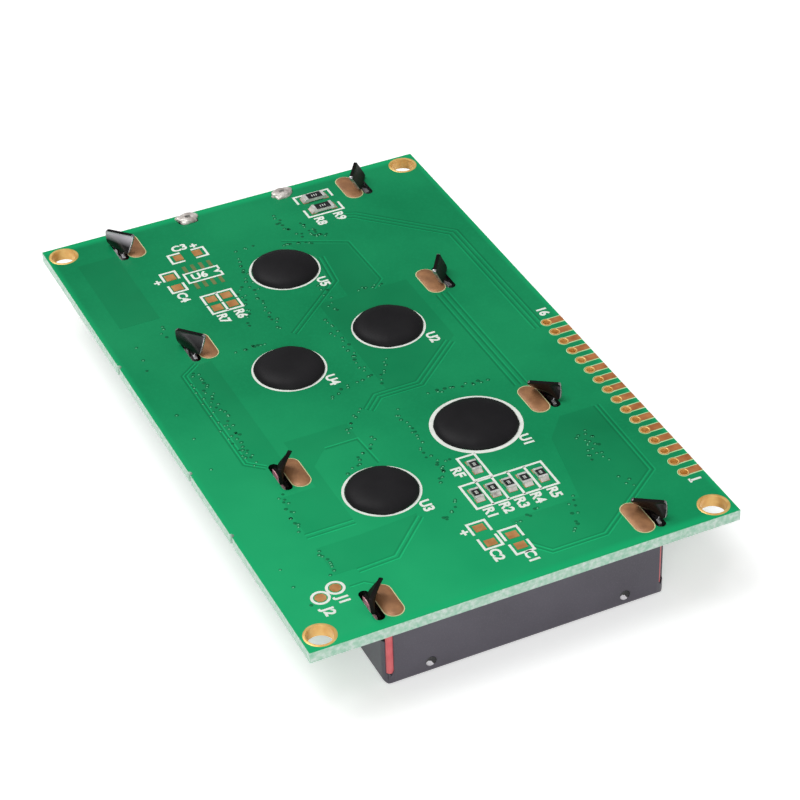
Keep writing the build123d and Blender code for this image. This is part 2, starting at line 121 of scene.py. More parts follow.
class Finish:
    """A node material that starts as one principled shader."""

    def __init__(self, name, **values):
        self.material = bpy.data.materials.new(name)
        self.material.use_nodes = True
        self.tree = self.material.node_tree
        self.shader = self.tree.nodes["Principled BSDF"]
        self.place = self.add("ShaderNodeTexCoord").outputs["Object"]
        for label, value in values.items():
            self.shader.inputs[label.replace("_", " ")].default_value = value

    def add(self, kind, **settings):
        node = self.tree.nodes.new(kind)
        for label, value in settings.items():
            setattr(node, label, value)
        return node

    def join(self, source, target):
        self.tree.links.new(source, target)

    def noise(self, grain, detail=4.0):
        """Noise with about this many cells to a metre."""
        node = self.add("ShaderNodeTexNoise")
        node.inputs["Scale"].default_value = grain
        node.inputs["Detail"].default_value = detail
        self.join(self.place, node.inputs["Vector"])
        return node.outputs["Fac"]

    def spread(self, source, low, high, start=0.3, end=0.7):
        node = self.add("ShaderNodeMapRange")
        for label, value in (("From Min", start), ("From Max", end), ("To Min", low), ("To Max", high)):
            node.inputs[label].default_value = value
        self.join(source, node.inputs["Value"])
        return node.outputs["Result"]

    def ramp(self, source, *stops):
        """Colours along a value, given as pairs of place and colour."""
        node = self.add("ShaderNodeValToRGB")
        stretch = node.color_ramp.elements
        while len(stretch) < len(stops):
            stretch.new(0.5)
        for element, (position, colour) in zip(stretch, stops):
            element.position = position
            element.color = colour
        self.join(source, node.inputs["Fac"])
        return node.outputs["Color"]

    def blend(self, factor, first, second):
        node = self.add("ShaderNodeMix", data_type="RGBA")
        self.join(factor, node.inputs["Factor"])
        sockets = [socket for socket in node.inputs if socket.type == "RGBA"]
        for socket, value in zip(sockets, (first, second)):
            if isinstance(value, tuple):
                socket.default_value = value
            else:
                self.join(value, socket)
        return [socket for socket in node.outputs if socket.type == "RGBA"][0]

    def reckon(self, operation, first, second=0.0):
        node = self.add("ShaderNodeMath", operation=operation)
        for socket, value in zip(node.inputs, (first, second)):
            if isinstance(value, (int, float)):
                socket.default_value = value
            else:
                self.join(value, socket)
        return node.outputs["Value"]

    def split(self, source):
        node = self.add("ShaderNodeSeparateXYZ")
        self.join(source, node.inputs["Vector"])
        return node.outputs

    def colour(self, source):
        self.join(source, self.shader.inputs["Base Color"])

    def rough(self, source):
        self.join(source, self.shader.inputs["Roughness"])

    def relief(self, source, depth):
        """Bump of this depth in millimetres."""
        node = self.add("ShaderNodeBump")
        node.inputs["Distance"].default_value = depth * MM
        node.inputs["Strength"].default_value = 1.0
        self.join(source, node.inputs["Height"])
        self.join(node.outputs["Normal"], self.shader.inputs["Normal"])


def plain_finish(name, dark, light, grain, least, most, depth=0.0, metal=0.0, specular=0.5):
    """Mottled colour, uneven gloss and a fine grain: the base of most surfaces here."""
    made = Finish(name, Metallic=metal, Specular_IOR_Level=specular)
    patches = made.noise(grain)
    made.colour(made.ramp(patches, (0.3, tone(*dark)), (0.7, tone(*light))))
    made.rough(made.spread(patches, least, most))
    if depth:
        made.relief(made.noise(grain * 4), depth)
    return made.material


def lacquer_colour(made, shade=1.0):
    """Mottled green, deeper in the middle and brighter towards the near side, where the brightening is a
    painted sheen.
    """
    def green(red, strong, blue):
        return tuple(min(1.0, part * shade) for part in tone(red, strong, blue)[:3]) + (1.0,)

    spot = made.split(made.place)
    patches = made.noise(60.0, 3.0)
    deep = made.ramp(patches, (0.32, green(12, 132, 82)), (0.5, green(16, 140, 88)),
                     (0.68, green(20, 148, 93)))
    bright = made.ramp(patches, (0.32, green(22, 168, 106)), (0.68, green(30, 180, 114)))
    # Painted sheen: the green brightens along this slope towards the near side
    slope = made.reckon("SUBTRACT", made.reckon("MULTIPLY", spot["X"], 0.8),
                        made.reckon("MULTIPLY", spot["Y"], 0.7))
    return made.blend(made.spread(slope, 0.0, 1.0, 0.004, 0.048), deep, bright)


def board_finish():
    """Green lacquer over laminate: brighter at the edges, pale fibre at the cut sides, and painted shade on
    the slot walls.
    """
    made = Finish("board_lacquer", Specular_IOR_Level=0.16)
    spot = made.split(made.place)
    weave = made.noise(2600.0, 2.0)
    lacquer = made.blend(made.spread(weave, 0.0, 0.18, 0.45, 0.75), lacquer_colour(made), tone(30, 166, 108))
    in_x = made.reckon("SUBTRACT", made.reckon("ABSOLUTE", spot["X"]), (half_length - 1.6) * MM)
    in_y = made.reckon("SUBTRACT", made.reckon("ABSOLUTE", spot["Y"]), (half_width - 0.9) * MM)
    to_edge = made.reckon("MAXIMUM", in_x, in_y)
    bare = made.spread(to_edge, 0.0, 0.7, 0.0, 0.9 * MM)
    lacquer = made.blend(bare, lacquer, tone(16, 180, 112))
    fibres = made.noise(1700.0, 4.0)
    laminate = made.ramp(fibres, (0.3, tone(164, 218, 190)), (0.5, tone(198, 232, 212)),
                         (0.68, tone(228, 246, 236)))
    outer = made.spread(to_edge, 0.0, 1.0, 0.4 * MM, 0.8 * MM)
    # Painted shade: the inner walls of the slots are coloured dark
    wall = made.ramp(fibres, (0.3, tone(10, 22, 16)), (0.7, tone(16, 40, 28)))
    geometry = made.add("ShaderNodeNewGeometry")
    facing = made.reckon("ABSOLUTE", made.split(geometry.outputs["Normal"])["Z"])
    flat = made.reckon("GREATER_THAN", facing, 0.5)
    made.colour(made.blend(flat, made.blend(outer, wall, laminate), lacquer))
    made.rough(made.spread(made.noise(60.0, 3.0), 0.3, 0.42))
    made.relief(made.noise(420.0, 3.0), 0.012)
    return made.material


def lacquer_finish(name, shade):
    """The board's lacquer, lighter or darker where it covers something, and as painted shade and painted
    highlight along the conductors.
    """
    made = Finish(name, Specular_IOR_Level=0.16)
    made.colour(lacquer_colour(made, shade))
    made.rough(made.spread(made.noise(140.0), 0.3, 0.42))
    made.relief(made.noise(560.0), 0.01)
    return made.material


def bezel_finish():
    """Satin dark paint, darker and glossier where the walls meet the board."""
    made = Finish("bezel_paint", IOR=1.5)
    height = made.split(made.place)["Z"]
    upper = made.spread(height, 0.0, 1.0, 8.4 * MM, 10.0 * MM)
    patches = made.noise(90.0, 4.0)
    wall = made.ramp(patches, (0.3, tone(74, 70, 80)), (0.7, tone(90, 86, 97)))
    speckle = made.noise(5200.0, 2.0)
    wall = made.blend(made.spread(speckle, 0.0, 0.4, 0.5, 0.8), wall, tone(104, 99, 112))
    black = made.ramp(patches, (0.3, tone(16, 14, 15)), (0.7, tone(30, 25, 25)))
    made.colour(made.blend(upper, wall, black))
    made.rough(made.spread(upper, 0.42, 0.16, 0.0, 1.0))
    made.relief(made.noise(3000.0, 2.0), 0.006)
    return made.material


def sheen_finish():
    """Glossy black that pales towards the upper edge where the sheet curls back: a painted sheen of the light
    caught there.
    """
    made = Finish("tab_sheen", Specular_IOR_Level=0.5)
    spot = made.split(made.place)
    far = made.spread(spot["X"], 1.0, 0.08, -40.0 * MM, -20.0 * MM)
    high = made.spread(spot["Z"], 0.0, 1.0, 11.4 * MM, 13.0 * MM)
    patches = made.noise(500.0)
    sheen_tone = made.ramp(patches, (0.3, tone(222, 214, 224)), (0.7, tone(246, 240, 248)))
    made.colour(made.blend(made.reckon("MULTIPLY", high, far), tone(16, 14, 16), sheen_tone))
    made.rough(made.spread(patches, 0.18, 0.26))
    made.relief(made.noise(2000.0), 0.003)
    return made.material


def window_finish():
    """Front polarizer over the lit layer: yellow-green with a faint sheen."""
    made = Finish("window_film", Roughness=0.18, IOR=1.5, Coat_Weight=0.4)
    patches = made.noise(30.0, 3.0)
    made.colour(made.ramp(patches, (0.3, tone(128, 142, 62)), (0.7, tone(142, 156, 72))))
    made.relief(made.noise(300.0, 2.0), 0.004)
    return made.material


def glass_finish(name, colour, rough):
    made = Finish(name, Roughness=rough, IOR=1.5, Transmission_Weight=0.85)
    patches = made.noise(80.0, 2.0)
    paler = tuple(min(1.0, part * 1.05) for part in colour[:3]) + (1.0,)
    made.colour(made.ramp(patches, (0.3, colour), (0.7, paler)))
    return made.material


def resistor_finish():
    """Black glaze on top, white ceramic at the sides."""
    made = Finish("resistor_glaze", IOR=1.5)
    geometry = made.add("ShaderNodeNewGeometry")
    up = made.reckon("GREATER_THAN", made.split(geometry.outputs["Normal"])["Z"], 0.6)
    patches = made.noise(1500.0)
    glaze = made.ramp(patches, (0.3, tone(22, 24, 26)), (0.7, tone(40, 42, 44)))
    ceramic = made.ramp(patches, (0.3, tone(205, 205, 198)), (0.7, tone(226, 226, 220)))
    made.colour(made.blend(up, ceramic, glaze))
    made.rough(made.spread(patches, 0.28, 0.4))
    made.relief(made.noise(9000.0), 0.004)
    return made.material


# Dark and light colour, grain, least and most roughness, then relief in millimetres, metal and specular level
plain_rows = {
    "plated_copper": ((156, 110, 76), (184, 132, 90), 700, 0.36, 0.5, 0.01, 0.25),
    "solder": ((176, 166, 160), (250, 244, 238), 900, 0.3, 0.42, 0.0, 0.2),
    "tinned_strip": ((170, 168, 164), (206, 204, 200), 600, 0.25, 0.4, 0.0, 0.9),
    "epoxy": ((29, 28, 30), (37, 36, 38), 160, 0.42, 0.54, 0.01, 0.0, 0.1),
    "silicon": ((60, 60, 68), (92, 92, 104), 4000, 0.1, 0.2, 0.0, 0.4),
    "cell_seal": ((120, 120, 110), (140, 140, 128), 900, 0.5, 0.7),
    "elastomer": ((226, 92, 100), (244, 122, 126), 500, 0.3, 0.42, 0.01),
    "white_moulding": ((226, 226, 220), (240, 240, 236), 300, 0.4, 0.55, 0.01),
    "white_film": ((234, 234, 230), (244, 244, 242), 500, 0.5, 0.6, 0.004),
    "led_laminate": ((210, 212, 202), (228, 230, 220), 500, 0.35, 0.5, 0.006),
    "led_package": ((226, 218, 150), (242, 236, 190), 1200, 0.3, 0.45, 0.006),
    "print_white": ((232, 240, 230), (250, 252, 246), 1500, 0.5, 0.62, 0.01),
    "tab_black": ((12, 11, 12), (24, 20, 21), 300, 0.18, 0.26, 0.004, 0.0, 0.35),
    "tab_satin": ((12, 11, 11), (26, 22, 20), 300, 0.4, 0.5, 0.0, 0.0, 0.1),
    "dent_painted_highlight": ((214, 210, 216), (246, 244, 248), 900, 0.25, 0.35),
    "dent_painted_shade": ((16, 15, 17), (26, 24, 27), 300, 0.2, 0.3),
    "cut_edge_highlight": ((150, 148, 150), (196, 194, 196), 1200, 0.2, 0.34, 0.006, 0.8),
    "gold_wall": ((232, 176, 92), (252, 212, 134), 800, 0.28, 0.42, 0.01, 0.3),
    "header_copper": ((176, 106, 58), (204, 132, 76), 900, 0.36, 0.5, 0.01, 0.2),
    "header_rim": ((178, 232, 160), (214, 246, 196), 900, 0.4, 0.5),
    "pale_rim": ((206, 204, 150), (236, 226, 180), 900, 0.4, 0.5),
    "bright_cap": ((206, 208, 204), (244, 244, 240), 1600, 0.26, 0.4, 0.01, 0.3),
    "via_glint": ((66, 178, 122), (112, 210, 158), 900, 0.3, 0.42),
    "pad_copper": ((182, 124, 70), (208, 150, 92), 900, 0.36, 0.5, 0.01, 0.2),
    "legged_copper": ((92, 122, 66), (126, 128, 78), 900, 0.4, 0.5, 0.01),
    "neck_glint": ((246, 244, 246), (254, 252, 254), 900, 0.2, 0.3),
    "neck_pink_glint": ((244, 150, 166), (254, 206, 214), 900, 0.2, 0.3),
    "cell_tone": ((118, 132, 56), (130, 144, 64), 200, 0.18, 0.26, 0.002),
}
finishes = {name: plain_finish(name, *row) for name, row in plain_rows.items()}
finishes.update({
    "board_laminate": board_finish(),
    "bezel_paint": bezel_finish(),
    "tab_sheen": sheen_finish(),
    "resistor_body": resistor_finish(),
    "display_glass": glass_finish("display_glass", (0.84, 0.9, 0.87, 1.0), 0.02),
    "polarizer_film": window_finish(),
    "liquid_crystal": glass_finish("liquid_crystal", (0.62, 0.7, 0.3, 1.0), 0.1),
    "clear_acrylic": glass_finish("clear_acrylic", (0.93, 0.95, 0.94, 1.0), 0.05),
})
# Shades of the lacquer: painted shade and painted highlight along the conductors, the pours' tone and the
# dark via eyes
for name, shade in (("gap_shade_lacquer", 0.74), ("ridge_highlight_lacquer", 1.3), ("pour_lacquer", 0.9), ("via_dark", 0.5)):
    finishes[name] = lacquer_finish(name, shade)

for part in frame["record"]["subparts"]:
    node_name = part["node"]
    skin = frame["nodes"][node_name]
    small_pads = node_name.endswith("_pads") and node_name != "ground_pads"
    skin.data.materials.clear()
    skin.data.materials.append(finishes["pad_copper" if small_pads else part["material_slot"]])


# Mesh helpers


def placed(name, data):
    """An object of the scene, made from its data or from a mesh in progress."""
    if isinstance(data, bmesh.types.BMesh):
        mesh = bpy.data.meshes.new(name)
        data.to_mesh(mesh)
        data.free()
        data = mesh
    made = bpy.data.objects.new(name, data)
    bpy.context.scene.collection.objects.link(made)
    return made


def piece(name, bm, slot, *materials, smooth=35.0, stands_for=(), bevel=0.0):
    """A mesh drawn in millimetres, turned into a piece with the named finishes, or else its slot's."""
    bmesh.ops.scale(bm, vec=(MM, MM, MM), verts=bm.verts)
    bmesh.ops.recalc_face_normals(bm, faces=bm.faces)
    limit = math.radians(smooth)
    for face in bm.faces:
        face.smooth = True
    for edge in bm.edges:
        edge.smooth = len(edge.link_faces) == 2 and edge.calc_face_angle(0.0) < limit
    made = placed(name, bm)
    for finish in materials or (slot,):
        made.data.materials.append(finishes[finish])
    if bevel:
        rounding = made.modifiers.new("rounding", "BEVEL")
        rounding.width = bevel * MM
        rounding.segments = 2
        rounding.limit_method = "ANGLE"
        rounding.harden_normals = True
    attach(made, "root")
    if stands_for:
        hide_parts(*stands_for)
    return made


def circle(centre, radius, count=48):
    turns = [2 * math.pi * step / count for step in range(count)]
    return [(centre[0] + radius * math.cos(turn), centre[1] + radius * math.sin(turn)) for turn in turns]


def rectangle(low_x, low_y, high_x, high_y):
    return [(low_x, low_y), (high_x, low_y), (high_x, high_y), (low_x, high_y)]


def stadium(centre, length, width, steps=14):
    """Outline with round ends, its length along X."""
    radius = width / 2
    points = []
    for end, start in ((1, -math.pi / 2), (-1, math.pi / 2)):
        middle = centre[0] + end * (length / 2 - radius)
        for step in range(steps + 1):
            turn = start + math.pi * step / steps
            points.append((middle + radius * math.cos(turn), centre[1] + radius * math.sin(turn)))
    return points


def prism(bm, outline, low, high, index=0):
    """Solid plate over an outline."""
    floor = [bm.verts.new((x, y, low)) for x, y in outline]
    roof = [bm.verts.new((x, y, high)) for x, y in outline]
    faces = [bm.faces.new(floor[::-1]), bm.faces.new(roof)]
    count = len(outline)
    for step in range(count):
        after = (step + 1) % count
        faces.append(bm.faces.new((floor[step], floor[after], roof[after], roof[step])))
    paint(faces, index)


def loops(bm, rings, closed=True, index=0):
    """Quads between rings of points; the last ring joins the first when closed."""
    made = [[bm.verts.new(point) for point in ring] for ring in rings]
    pairs = list(zip(made, made[1:]))
    if closed:
        pairs.append((made[-1], made[0]))
    for near, far in pairs:
        count = len(near)
        for step in range(count):
            after = (step + 1) % count
            face = bm.faces.new((near[step], near[after], far[after], far[step]))
            face.material_index = index
    return made


def capped(bm, rings, index=0):
    """A form through rings of points, with a face at each end."""
    made = loops(bm, rings, closed=False, index=index)
    for cap in (made[0][::-1], made[-1]):
        bm.faces.new(cap).material_index = index
    return made


def quad(near, far, step):
    """The face between two rings that starts at this point."""
    after = (step + 1) % len(near)
    return set(near[step].link_faces) & set(near[after].link_faces) & set(far[step].link_faces)


def paint(faces, index):
    for face in faces:
        face.material_index = index


def band(bm, inner, outer, low, high, index=0):
    """Flat closed band between two outlines with as many points."""
    rings = [[(x, y, z) for x, y in outline] for outline, z in
             ((inner, low), (outer, low), (outer, high), (inner, high))]
    loops(bm, rings, index=index)


def offset_path(points, shift, closed):
    """Points moved sideways, with mitred corners."""
    moved = []
    count = len(points)
    for step, point in enumerate(points):
        here = Vector(point)
        ways = []
        if closed or step:
            ways.append((here - Vector(points[step - 1])).normalized())
        if closed or step < count - 1:
            ways.append((Vector(points[(step + 1) % count]) - here).normalized())
        sides = [Vector((-way.y, way.x)) for way in ways]
        middle = sum(sides, Vector((0.0, 0.0))).normalized()
        moved.append(here + middle * (shift / max(0.4, middle.dot(sides[0]))))
    return moved


def ribbon(bm, points, width, low, high, closed=False, index=0):
    """Flat strip of one width along a path."""
    left = offset_path(points, width / 2, closed)
    right = offset_path(points, -width / 2, closed)
    if closed:
        band(bm, right, left, low, high, index)
        return
    capped(bm, [[(a.x, a.y, low), (b.x, b.y, low), (b.x, b.y, high), (a.x, a.y, high)]
                for a, b in zip(left, right)], index)


def lathe(bm, centre, profile, count=40, index=0, closed=False):
    """Round form from pairs of radius and height: a tube when closed, or else with a face at each end."""
    rings = [[(x, y, height) for x, y in circle(centre, radius, count)] for radius, height in profile]
    if closed:
        loops(bm, rings, index=index)
    else:
        capped(bm, rings, index)


def block(bm, low, high, index=0):
    prism(bm, rectangle(low[0], low[1], high[0], high[1]), low[2], high[2], index)


# Bezel with softened edges


def carved(bm, *forms):
    """A mesh after each form has been cut away from it."""
    used = []
    for form in (bm, *forms):
        bmesh.ops.recalc_face_normals(form, faces=form.faces)
        used.append(placed("carving", form))
    body = used[0]
    for tool in used[1:]:
        change = body.modifiers.new("change", "BOOLEAN")
        change.object = tool
        change.operation = "DIFFERENCE"
        change.solver = "EXACT"
    left = body.evaluated_get(bpy.context.evaluated_depsgraph_get())
    made = bmesh.new()
    made.from_mesh(left.to_mesh())
    for item in used:
        mesh = item.data
        bpy.data.objects.remove(item)
        bpy.data.meshes.remove(mesh)
    return made


def round_cornered(low_x, low_y, high_x, high_y, radius, steps=8):
    """Outline of a rectangle with round corners."""
    points = []
    corners = ((high_x, high_y, 0), (low_x, high_y, 1), (low_x, low_y, 2), (high_x, low_y, 3))
    for x, y, quarter in corners:
        middle_x = x - math.copysign(radius, x - (low_x + high_x) / 2)
        middle_y = y - math.copysign(radius, y - (low_y + high_y) / 2)
        for step in range(steps + 1):
            turn = math.pi / 2 * (quarter + step / steps)
            points.append((middle_x + radius * math.cos(turn), middle_y + radius * math.sin(turn)))
    return points


def corner_waste(end, side, steps=8):
    """Outline of what a round corner leaves off a square one."""
    over = corner_round + 1.0
    reach = corner_round + 0.01
    points = [(over, 0.0), (over, over), (0.0, over)]
    for step in range(steps + 1):
        turn = math.pi / 2 * (1 - step / steps)
        points.append((reach * math.cos(turn), reach * math.sin(turn)))
    return [(end * (bezel_half_length - corner_round + x), side * (bezel_half_width - corner_round + y))
            for x, y in points]


def bezel_piece():
    """The folded tray with round corners and broken edges, without its tabs."""
    bm = bmesh.new()
    bm.from_mesh(frame["nodes"]["bezel"].data)
    bmesh.ops.remove_doubles(bm, verts=bm.verts, dist=1e-7)
    bmesh.ops.scale(bm, vec=(1 / MM, 1 / MM, 1 / MM), verts=bm.verts)
    cut = bmesh.ops.bisect_plane(bm, geom=bm.verts[:] + bm.edges[:] + bm.faces[:], clear_outer=True,
                                 plane_co=(0, 0, board_low.z - 0.002), plane_no=(0, 0, 1))
    rims = [item for item in cut["geom_cut"] if isinstance(item, bmesh.types.BMEdge)]
    bmesh.ops.edgeloop_fill(bm, edges=rims)
    bmesh.ops.dissolve_limit(bm, angle_limit=math.radians(0.5), verts=bm.verts, edges=bm.edges)
    past_end, past_side = 50.0, 21.0
    steps = []
    for end, side, wall_end, reach in strip_ends:
        form = bmesh.new()
        prism(form, corner_waste(end, side), -1.0, carving_high)
        steps.append(form)
        form = bmesh.new()
        x = sorted((end * wall_end, end * past_end))
        y = sorted((side * wall_inside, side * past_side))
        block(form, (x[0], y[0], corner_gap_low), (x[1], y[1], carving_high))
        steps.append(form)
    bm = carved(bm, *steps)
    made = piece("bezel_dressed", bm, "bezel_paint", smooth=28.0, stands_for=("bezel",), bevel=0.06)
    made.modifiers["rounding"].angle_limit = math.radians(50)


def strip_pieces():
    """Soft strips under the board, squeezed out a little where the walls part at the corners."""
    inside, lump_low, lump_round = 17.2, 1.75, 0.5
    for side, node in ((1, "contact_strip_header_side"), (-1, "contact_strip_plain_side")):
        low, high = box_mm(node)
        bm = bmesh.new()
        block(bm, low, high)
        for end, row, wall_end, reach in strip_ends:
            if row != side:
                continue
            x = sorted((end * (wall_end - 0.4), end * (bezel_half_length - 0.3)))
            y = sorted((side * inside, side * reach))
            prism(bm, round_cornered(x[0], y[0], x[1], y[1], lump_round), lump_low, high.z - 0.01)
        piece(node + "_form", bm, "elastomer", stands_for=(node,))


def twisted_tabs():
    """Neck in the slot and wider head, twisted as one sheet, with round corners and bare cut edges; some
    edges, necks and heads carry a painted highlight or sheen.
    """
    black, edge, glint, sheen, satin, pink_glint = range(6)
    bm = bmesh.new()
    for side, shapes in ((1, header_row_tabs), (-1, plain_row_tabs)):
        for x, shape in zip(tab_places, shapes):
            rings = [tab_ring(Vector((x, side * tab_row)), side, width, rise, shape)
                     for width, rise in tab_outline(shape[3])]
            made = capped(bm, rings)
            # Bare cut edges, left bright as a painted highlight only on the tabs whose edges catch the light
            if side > 0 or x < 0:
                paint(tab_side_faces(made), edge)
            if shape[0] < 0:
                faces = {face for ring in made for vert in ring for face in vert.link_faces}
                paint([face for face in faces if face.material_index == black], satin)
                # Painted highlights on the neck's outer faces in the slot: white on the header row, pink on
                # the plain row
                paint(outer_faces(made[1:5], side), glint if side > 0 else pink_glint)
            # Painted sheen on the upper faces of the curled heads on the plain row
            if side < 0 and shape[0] > 0:
                paint(outer_faces(made[6:-3], side), sheen)
    piece("bezel_tabs", bm, "bezel_paint", "tab_black", "cut_edge_highlight", "neck_glint", "tab_sheen", "tab_satin",
          "neck_pink_glint", smooth=40.0)


def tab_outline(height):
    """Width and height above the board's front of each section, from the wall to the tip."""
    root = board_top - board_low.z
    outline = [(tab_shoulder, rise) for rise in (-0.002, 0.45, 0.8, root - 0.07)]
    outline += [(tab_neck, root - 0.04), (tab_neck, root), (tab_neck, root + tab_gap)]
    straight = tab_head - 2 * tab_round
    for step in range(7):
        turn = math.pi / 2 * step / 6
        outline.append((straight + 2 * tab_round * math.sin(turn),
                        root + tab_gap + tab_round * (1 - math.cos(turn))))
    for step in range(1, 13):
        rise = tab_gap + tab_round + (height - tab_gap - 2 * tab_round) * step / 12
        outline.append((tab_head, root + rise))
    for step in range(1, 7):
        turn = math.pi / 2 * step / 6
        outline.append((straight + 2 * tab_round * math.cos(turn),
                        root + height - tab_round * (1 - math.sin(turn))))
    return outline


def tab_ring(place, side, width, rise, shape):
    """One section of a tab as a ring of points: two faces with broken edges between them."""
    root_turn, tip_turn, lean, height = shape
    root = board_top - board_low.z
    above = rise - root
    share = min(1.0, max(0.0, above - tab_gap) / (height - tab_straight - tab_gap))
    exit_turn = math.copysign(slot_turn, tip_turn)
    if above <= 0:
        turn = exit_turn * max(0.0, above + slot_turn_height) / slot_turn_height
    elif above <= tab_gap:
        turn = exit_turn + (root_turn - exit_turn) * above / tab_gap
    else:
        turn = root_turn + (tip_turn - root_turn) * share
    back = tab_curl * share ** 2.2 if side < 0 and root_turn > 0 else 0.0
    way = Vector((math.cos(math.radians(turn)), math.sin(math.radians(turn))))
    through = Vector((-way.y, way.x))
    half = sheet / 2
    broken = 0.06
    spread = [(width / 2) * (1 - 2 * step / (tab_across - 1)) for step in range(tab_across)]
    spread[0] -= broken
    spread[-1] += broken
    points = [way * along + through * half for along in spread]
    side_way = way * (width / 2)
    edge_way = through * (half - broken)
    points += [-side_way + edge_way, -side_way - edge_way]
    points += [way * along - through * half for along in reversed(spread)]
    points += [side_way - edge_way, side_way + edge_way]
    ring = []
    for point in points:
        local = point + Vector((0.0, -lean * share)) - through * back
        ring.append((place.x + side * local.x, place.y + side * local.y, board_low.z + rise))
    return ring


def strip_faces(rings, steps):
    """Faces between rings that start at these of their points."""
    return [face for near, far in zip(rings, rings[1:]) for step in steps for face in quad(near, far, step)]


def tab_side_faces(rings):
    """Faces along both cut sides of a tab."""
    count = len(rings[0])
    return strip_faces(rings, (tab_across - 1, tab_across, tab_across + 1, count - 3, count - 2, count - 1))


def outer_faces(rings, side):
    """Faces of a tab that look towards the plain row."""
    start = tab_across + 2 if side > 0 else 0
    return strip_faces(rings, range(start, start + tab_across - 1))


def wall_dents():
    """Smooth bowls that line the round dents in the short walls: dark as painted shade, with a painted
    highlight on one side.
    """
    bm = bmesh.new()
    steps = 8
    for end in (-1, 1):
        for side in (-1, 1):
            rings = []
            for step in range(steps):
                share = 1 - step / steps
                depth = dent_depth * (1 - share ** 2) ** 0.5
                x = end * (bezel_half_length - depth + 0.004)
                rings.append([(x, y, z) for y, z in
                              circle((side * dent_place, dent_height), dent_radius * share, dent_sides)])
            made = loops(bm, rings, closed=False)
            bm.faces.new(made[-1])
            # Only the side of the bowl that the light falls on is bright
            lit = range(19, 30) if end > 0 else range(25, dent_sides)
            for near, far in zip(made[0:6], made[1:7]):
                for corner in lit:
                    paint(quad(near, far, corner), 1)
    piece("wall_dents", bm, "bezel_paint", "dent_painted_shade", "dent_painted_highlight", smooth=60.0)


bezel_piece()
strip_pieces()
twisted_tabs()
wall_dents()


# Plated holes and pads


def barrel(bm, place, bore, flange, low, high):
    """Plated wall through the board with a small raised collar."""
    inner = bore / 2 - 0.03
    outer = bore / 2 + 0.01
    crest = high + 0.03
    foot = high - 0.02
    profile = [(inner, low), (inner, high), (inner + 0.05, crest), (flange, crest),
               (flange + 0.06, foot), (outer, foot), (outer, low)]
    lathe(bm, place, profile, closed=True)


def pad_outline(x, width, radius):
    """Round end about the hole and a narrower strip that runs to the board's edge."""
    half = width / 2
    start = math.acos(half / radius)
    points = []
    for step in range(25):
        turn = math.pi - start + (2 * start + math.pi) * step / 24
        points.append((x + radius * math.cos(turn), header_y + radius * math.sin(turn)))
    points += [(x + half, half_width - edge_gap), (x - half, half_width - edge_gap)]
    return points


def header_barrels():
    """Plated copper barrels with gold pads that run to the board's edge, each in a pale rim."""
    low, high = box_mm("header_pads")
    half_pad = 0.8
    first, last = low.x + half_pad, high.x - half_pad
    count = 16
    bore = header_bore / 2
    radius = 0.78
    half_strip = 0.62
    strip_start = header_y + 0.6
    ring_low = pad_top - 0.05
    bm = bmesh.new()
    rim = bmesh.new()
    for step in range(count):
        x = first + (last - first) * step / (count - 1)
        barrel(bm, (x, header_y), header_bore, bore + 0.1, board_low.z - 0.03, pad_top)
        ring = [(bore, ring_low), (bore, pad_top), (radius, pad_top), (radius, ring_low)]
        lathe(bm, (x, header_y), ring, index=1, closed=True)
        block(bm, (x - half_strip, strip_start, pad_low),
              (x + half_strip, half_width - edge_gap, pad_top - 0.003), 1)
        band(rim, pad_outline(x, 1.2, radius), pad_outline(x, 1.56, 0.88), print_low, print_high)
    piece("header_pad_rims", rim, "board_laminate", "header_rim")
    piece("header_barrels", bm, "plated_copper", "gold_wall", "header_copper", stands_for=("header_pads",))


def mount_lining():
    """Plated copper lining of each corner hole; the gold finish is attached but no face takes it."""
    bm = bmesh.new()
    ring_low, ring_high = box_mm("mounting_hole_rings")
    inner = mount_bore / 2
    outer = 2.15
    for end in (-1, 1):
        for side in (-1, 1):
            place = (end * (half_length - hole_inset), side * (half_width - hole_inset))
            lathe(bm, place, [(inner, ring_low.z), (inner, ring_high.z - 0.06), (inner + 0.06, ring_high.z),
                              (outer - 0.1, ring_high.z), (outer, ring_high.z - 0.05), (outer, ring_low.z)],
                  count=64, closed=True)
    piece("mounting_ring_lining", bm, "plated_copper", "gold_wall", stands_for=("mounting_hole_rings",))


def ground_pad_pieces():
    """Domed copper pads beside the slots, each with a pale rim."""
    pad_length, pad_width = 6.2, 2.6
    under, over = 0.04, 0.22
    row = box_mm("ground_pads")[1].y - pad_width / 2
    bm = bmesh.new()
    rim = bmesh.new()
    for x in tab_places:
        for side in (-1, 1):
            centre = (x, side * row)
            rings = []
            for inset, lift in ((0.0, 0.0), (0.03, 0.07), (0.25, 0.15), (0.6, 0.2), (1.0, 0.22)):
                outline = stadium(centre, pad_length - 2 * inset, pad_width - 2 * inset)
                rings.append([(px, py, board_top + lift + 0.03 * noise.noise((px * 0.7, py * 0.7, 3.0)))
                              for px, py in outline])
            capped(bm, rings)
            band(rim, stadium(centre, pad_length - under, pad_width - under),
                 stadium(centre, pad_length + over, pad_width + over), print_low, print_high)
    piece("ground_pad_domes", bm, "plated_copper", stands_for=("ground_pads",))
    piece("ground_pad_rims", rim, "board_laminate", "pale_rim")


header_barrels()
mount_lining()
ground_pad_pieces()


# Printed marks

# Centre of each dome, with the radius and line width of the ring printed about it
blobs = {
    "controller": (17.5, 8.13, 6.03, 0.6),
    "driver_1": (-8.37, 7.3, 5.08, 0.34),
    "driver_2": (24.67, -9.1, 5.07, 0.36),
    "driver_3": (-5.47, -9.13, 5.06, 0.34),
    "driver_4": (-28.3, 0.0, 5.04, 0.32),
}


